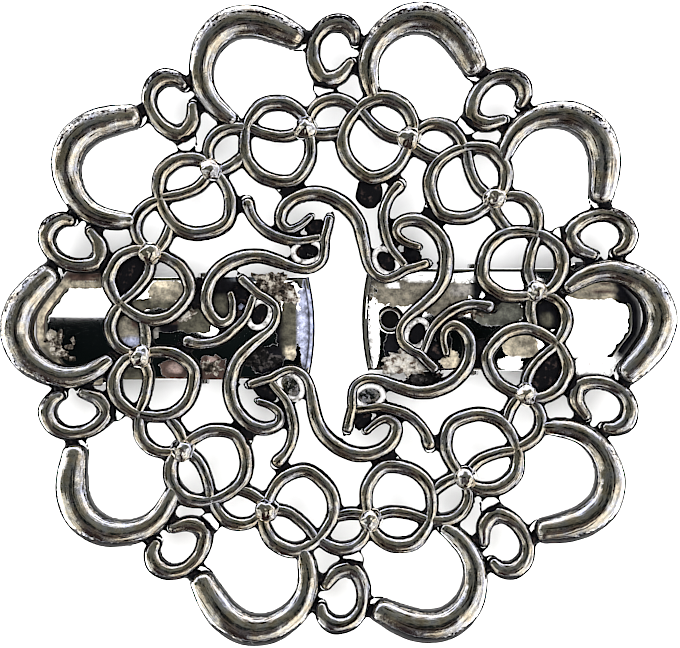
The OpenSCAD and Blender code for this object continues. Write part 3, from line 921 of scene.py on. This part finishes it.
def plate(name, left):
    """A clip's top strip: a mirror with a bent lip round its mouth and a bent tail."""
    v2, faces, d = plate_mesh(left)
    x, y = v2[:, 0], v2[:, 1]
    turn = -1 if left else 1
    in_edge = np.clip(EDGE_ROUND ** 2 - (EDGE_ROUND - d) ** 2, 0, None)
    drop = np.where(d < EDGE_ROUND, EDGE_ROUND - np.sqrt(in_edge), 0)
    at_mouth = smooth_step(MOUTH_FROM + 0.2, MOUTH_FULL + 0.2, x)
    bend = (np.clip(LIP_STEEP - d, 0, 1) * STEEP_SLOPE + np.clip(LIP - d, 0, 1) * LIP_SLOPE) * at_mouth
    from_tail = x - TAIL - TAIL_SAG * (y / (PLATE_W / 2)) ** 2
    bend = bend + np.clip(TAIL_BEND - from_tail, 0, TAIL_BEND) * TAIL_SLOPE
    calm = 1 - 0.92 * smooth_step(17.0, 21.0, x)  # the mouths are flatter than the rest
    where = np.column_stack([v2 * turn, np.full(len(v2), turn)])
    wave = wobble(where, seed=12, size=3.5, amount=0.018)[:, 2] * calm
    lean = 0.0 if left else 0.0025 + 0.013 * smooth_step(15.5, 19.5, x)  # most at the mouth
    tilt = -(y + SHIFT) * lean
    top = PLATE_Z + PLATE_T - drop - bend + wave + tilt - PLATE_SINK
    v, f = prism(v2, faces, PLATE_Z + drop * 0.6 - bend, top)
    obj = new_object(name, turned(v, left), f)
    spots = turned(np.column_stack([v2, np.zeros(len(v2))]), left)[:, :2]
    paint = plate_paint(spots, d, from_tail, at_mouth, left)
    set_points(obj, "mark", np.concatenate([paint, np.zeros_like(paint)]), "FLOAT_COLOR", "color")
    return obj


def ear(y0):
    """A side ear of a clip's plate: a strip with a round end about the pin."""
    arc = [math.radians(a) for a in np.linspace(180, 360, 17)]
    outer = [(HINGE + EAR_R * math.cos(a), PIN_Z + EAR_R * math.sin(a)) for a in arc]
    foot_z = PLATE_Z + EAR_SUNK
    outer = [(HINGE - EAR_R, foot_z)] + outer + [(HINGE + EAR_R, foot_z)]
    bore = PIN_R + 0.01
    hole = [(HINGE + bore * math.cos(a), PIN_Z + bore * math.sin(a))
            for a in np.linspace(0, 2 * math.pi, 24, endpoint=False)]
    v2, faces = flat_mesh(outer + hole, [outer, hole])
    v, f = prism(v2, without_hole(v2, faces, HINGE, PIN_Z, bore * 0.97), y0, y0 + EAR_T)
    return v[:, [0, 2, 1]], [face[::-1] for face in f]


def smooth_edges(obj, width_mm):
    """Rounds a piece's sharp edges and joins what that leaves too close."""
    mod = obj.modifiers.new("edges", "BEVEL")
    mod.width = width_mm * MM
    mod.segments = 2
    mod.limit_method = "ANGLE"
    mod.angle_limit = math.radians(40)
    bpy.context.view_layer.objects.active = obj
    for o in bpy.context.selected_objects:
        o.select_set(False)
    obj.select_set(True)
    bpy.ops.object.modifier_apply(modifier=mod.name)
    bm = bmesh.new()
    bm.from_mesh(obj.data)
    bmesh.ops.remove_doubles(bm, verts=bm.verts, dist=5e-6)
    bmesh.ops.dissolve_degenerate(bm, edges=bm.edges, dist=2e-6)
    bm.to_mesh(obj.data)
    bm.free()
    bpy.ops.object.shade_smooth_by_angle(angle=math.radians(35))


def copy_of(node, name):
    """A CAD node's mesh as a new object with its points joined."""
    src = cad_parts[node]
    obj = bpy.data.objects.new(name, src.data.copy())
    bpy.context.scene.collection.objects.link(obj)
    bm = bmesh.new()
    bm.from_mesh(obj.data)
    bmesh.ops.remove_doubles(bm, verts=bm.verts, dist=1e-6)
    bmesh.ops.dissolve_limit(bm, angle_limit=math.radians(1), verts=bm.verts, edges=bm.edges)
    bm.to_mesh(obj.data)
    bm.free()
    return obj


def spring_lines():
    """The middle of a spring's wire: its coil with the upper leg, then the leg that goes with the jaw."""
    pitch = 2 * WIRE_R + COIL_GAP
    steps, leg_steps = 28, 20  # points of a turn and of a leg
    start_y = pitch * (COIL_TURNS + 0.5) / 2

    def leg(y, way):
        return [(HINGE - LEG_REACH * i / leg_steps, y, PIN_Z + way * (COIL_R + LEG_RISE * i / leg_steps))
                for i in range(1, leg_steps + 1)]

    coil = []
    for i in range(int(COIL_TURNS * steps) + 1):
        a = math.pi / 2 - 2 * math.pi * i / steps
        y = start_y - pitch * i / steps
        coil.append((HINGE + COIL_R * math.cos(a), y, PIN_Z + COIL_R * math.sin(a)))
    return leg(start_y, 1)[::-1] + coil, coil[-1:] + leg(start_y - pitch * COIL_TURNS, -1)


def wire(pts, left, sides=12):
    """Round wire along a line of points."""
    p = np.array(pts)
    t = np.gradient(p, axis=0)
    t /= np.linalg.norm(t, axis=1)[:, None]
    side = np.cross(t, [0.0, 1.0, 0.0])
    side /= np.linalg.norm(side, axis=1)[:, None]
    other = np.cross(side, t)
    angles = [2 * math.pi * j / sides for j in range(sides)]
    v = [q + WIRE_R * (math.cos(a) * s + math.sin(a) * o) for q, s, o in zip(p, side, other) for a in angles]
    return turned(v, left), tube_faces(len(p), sides)


for side_name, left in (("left", True), ("right", False)):
    finish_piece(plate(f"{side_name}_plate", left), NICKEL, "base", "nickel", "rosette")
    ears = [ear(y) for y in (-PLATE_W / 2, PLATE_W / 2 - EAR_T)]
    ear_piece = joined_object(f"{side_name}_ears", [(turned(v, left), f) for v, f in ears])
    smooth_edges(ear_piece, 0.1)
    finish_piece(ear_piece, NICKEL, "base", "nickel", "rosette")
    coil, leg = spring_lines()
    spring = joined_object(f"{side_name}_coil", [wire(coil, left)])
    finish_piece(spring, STEEL, "base", "steel", f"{side_name}_spring")
    spring_leg = joined_object(f"{side_name}_spring_leg", [wire(leg, left)])
    finish_piece(spring_leg, STEEL, f"{side_name}_lever", "steel")
    jaw = copy_of(f"{side_name}_jaw", f"{side_name}_lever")
    smooth_edges(jaw, 0.1)
    finish_piece(jaw, DULL_NICKEL, f"{side_name}_lever", "nickel", f"{side_name}_jaw")
    pin = copy_of(f"{side_name}_pin", f"{side_name}_rivet")
    smooth_edges(pin, 0.12)
    finish_piece(pin, STEEL, "base", "steel", f"{side_name}_pin")

SOLDER_Z = PLATE_Z + PLATE_T - 0.08
for name, rows, material, rough in (("solder_pale", PALE_LUMPS, PALE_SOLDER, 0.3),
                                    ("solder_brown", BROWN_LUMPS, BROWN_SOLDER, 0.45),
                                    ("solder_black", BLACK_LUMPS, BLACK_SOLDER, 0.3)):
    pieces = [lump((x, y, SOLDER_Z), half, 70 + i, rough=rough, size=0.45, rings=24, spokes=48)
              for i, (x, y, *half) in enumerate(rows)]
    finish_piece(joined_object(name, pieces), material, *CASTING)

# Floor, surroundings, light and camera.
bpy.ops.mesh.primitive_plane_add(size=4.0, location=(0, 0, -0.00005))
floor = bpy.context.object
floor.name = "floor"
pale = Material("pale_floor")
pale.shade(Base_Color=(0.92, 0.92, 0.92), Roughness=0.9)
floor.data.materials.append(pale.mat)

scene = bpy.context.scene
scene.world = bpy.data.worlds.new("studio")
studio = Tree(scene.world, "Generated")


def patch(before, azimuth, polar, wide, high, soft, colour):
    """Mixes an oval patch into the surroundings. Angles are in degrees, polar from straight up."""
    a, p = math.radians(azimuth), math.radians(polar)
    out = Vector((math.sin(p) * math.cos(a), math.sin(p) * math.sin(a), math.cos(p)))
    along = Vector((-math.sin(a), math.cos(a), 0)) / math.sin(math.radians(wide))
    down = Vector((math.cos(p) * math.cos(a), math.cos(p) * math.sin(a), -math.sin(p)))
    down = down / math.sin(math.radians(high))

    def dot(vector):
        n = studio.add("ShaderNodeVectorMath", operation="DOT_PRODUCT")
        studio.link(studio.coord, n.inputs[0])
        n.inputs[1].default_value = vector
        return n.outputs["Value"]

    flat = studio.add("ShaderNodeCombineXYZ")
    studio.link(dot(along), flat.inputs[0])
    studio.link(dot(down), flat.inputs[1])
    size = studio.add("ShaderNodeVectorMath", operation="LENGTH")
    studio.link(flat.outputs[0], size.inputs[0])
    inside = studio.map_range(size.outputs["Value"], "SMOOTHSTEP", 1 + soft, 1 - soft)
    in_front = studio.maths("GREATER_THAN", dot(out), 0.0)
    return studio.mix(studio.maths("MULTIPLY", inside, in_front), before, colour)


sky = (0.13, 0.13, 0.11)
for row in (
        (90, 90, 75, 27, 0.4, (1.45, 1.47, 1.62)),  # north: lavender white, fading upwards
        (35, 90, 50, 27, 0.5, (1.30, 1.30, 1.42)),  # north-east: the same
        (148, 90, 45, 25, 0.4, (1.30, 1.31, 1.42)),  # north-west: the same
        (190, 90, 34, 16, 0.3, (1.10, 1.06, 0.94)),  # west, low: cream
        (180, 54, 15, 27, 0.25, (0.075, 0.075, 0.055)),  # due west: a dark olive gap
        (215, 62, 22, 24, 0.3, (0.62, 0.60, 0.53)),  # south-west: cream grey
        (5, 50, 20, 24, 0.3, (0.36, 0.35, 0.34)),  # east: grey
        (264, 55, 30, 34, 0.25, (0.022, 0.014, 0.014)),  # south: dark brown
        (312, 86, 26, 18, 0.4, (0.95, 0.91, 0.85)),  # south-east, low: cream
        (322, 42, 40, 22, 0.25, (0.98, 0.94, 0.85)),  # south-east, high: cream window
        (266, 18, 22, 22, 0.2, (0.075, 0.064, 0.058)),  # the person behind the camera
        (90, 10, 50, 14, 0.35, (0.09, 0.09, 0.075)),  # the dark ceiling over the camera
        (0, 0, 10, 10, 0.15, (0.004, 0.006, 0.006))):  # straight above: the camera
    sky = patch(sky, *row)
uneven = studio.noise(7.0, 4.0, 0.5)
sky_node = studio.add("ShaderNodeBackground")
studio.link(sky, sky_node.inputs[0])
studio.link(studio.map_range(uneven, "LINEAR", 0.33, 0.67, 0.2, 1.9), sky_node.inputs[1])
studio.link(sky_node.outputs[0], studio.add("ShaderNodeOutputWorld").inputs[0])


def area_light(name, shape, size, energy, place):
    """A flat light that shines straight down."""
    data = bpy.data.lights.new(name, "AREA")
    data.shape = shape
    data.size, data.size_y = size
    data.energy = energy
    obj = bpy.data.objects.new(name, data)
    scene.collection.objects.link(obj)
    obj.location = place
    return obj


over = area_light("over", "DISK", (1.4, 1.4), 37.0, (0.0, 0.0, 0.9))
over.rotation_euler = over.location.to_track_quat("Z", "Y").to_euler()
over.visible_glossy = False

# A small bright card beside the camera, seen only in the plates.
CARD_W, CARD_D = 0.12, 0.0117
CARD_EDGE = 0.0013  # where its near edge is, which gives the border between white and dark in each mouth
CARD_AT = (0.0, CARD_EDGE + CARD_D / 2, DISTANCE + 0.002)
card = area_light("card_over", "RECTANGLE", (CARD_W, CARD_D), 5.2 * CARD_W * CARD_D, CARD_AT)
card.visible_diffuse = False
card.visible_camera = False
mirrors = bpy.data.collections.new("mirrors")
for side_name in ("left", "right"):
    mirrors.objects.link(bpy.data.objects[f"{side_name}_plate"])
card.light_linking.receiver_collection = mirrors

cam_data = bpy.data.cameras.new("camera")
cam = bpy.data.objects.new("camera", cam_data)
scene.collection.objects.link(cam)
cam.location = (0.00015, -0.00001, DISTANCE)
cam_data.sensor_width = 36.0
cam_data.lens = cam_data.sensor_width * (DISTANCE - SCALE_Z) / (PHOTO_W * PIXEL * MM)
cam_data.clip_start = 0.01
scene.camera = cam
scene.view_settings.view_transform = "Standard"
scene.view_settings.look = "None"

finish = Tree(scene)
crisp = finish.add("CompositorNodeFilter", filter_type="SHARPEN", Fac=0.06)
finish.link(finish.add("CompositorNodeRLayers").outputs["Image"], crisp.inputs["Image"])
finish.link(crisp.outputs["Image"], finish.add("CompositorNodeComposite").inputs["Image"])
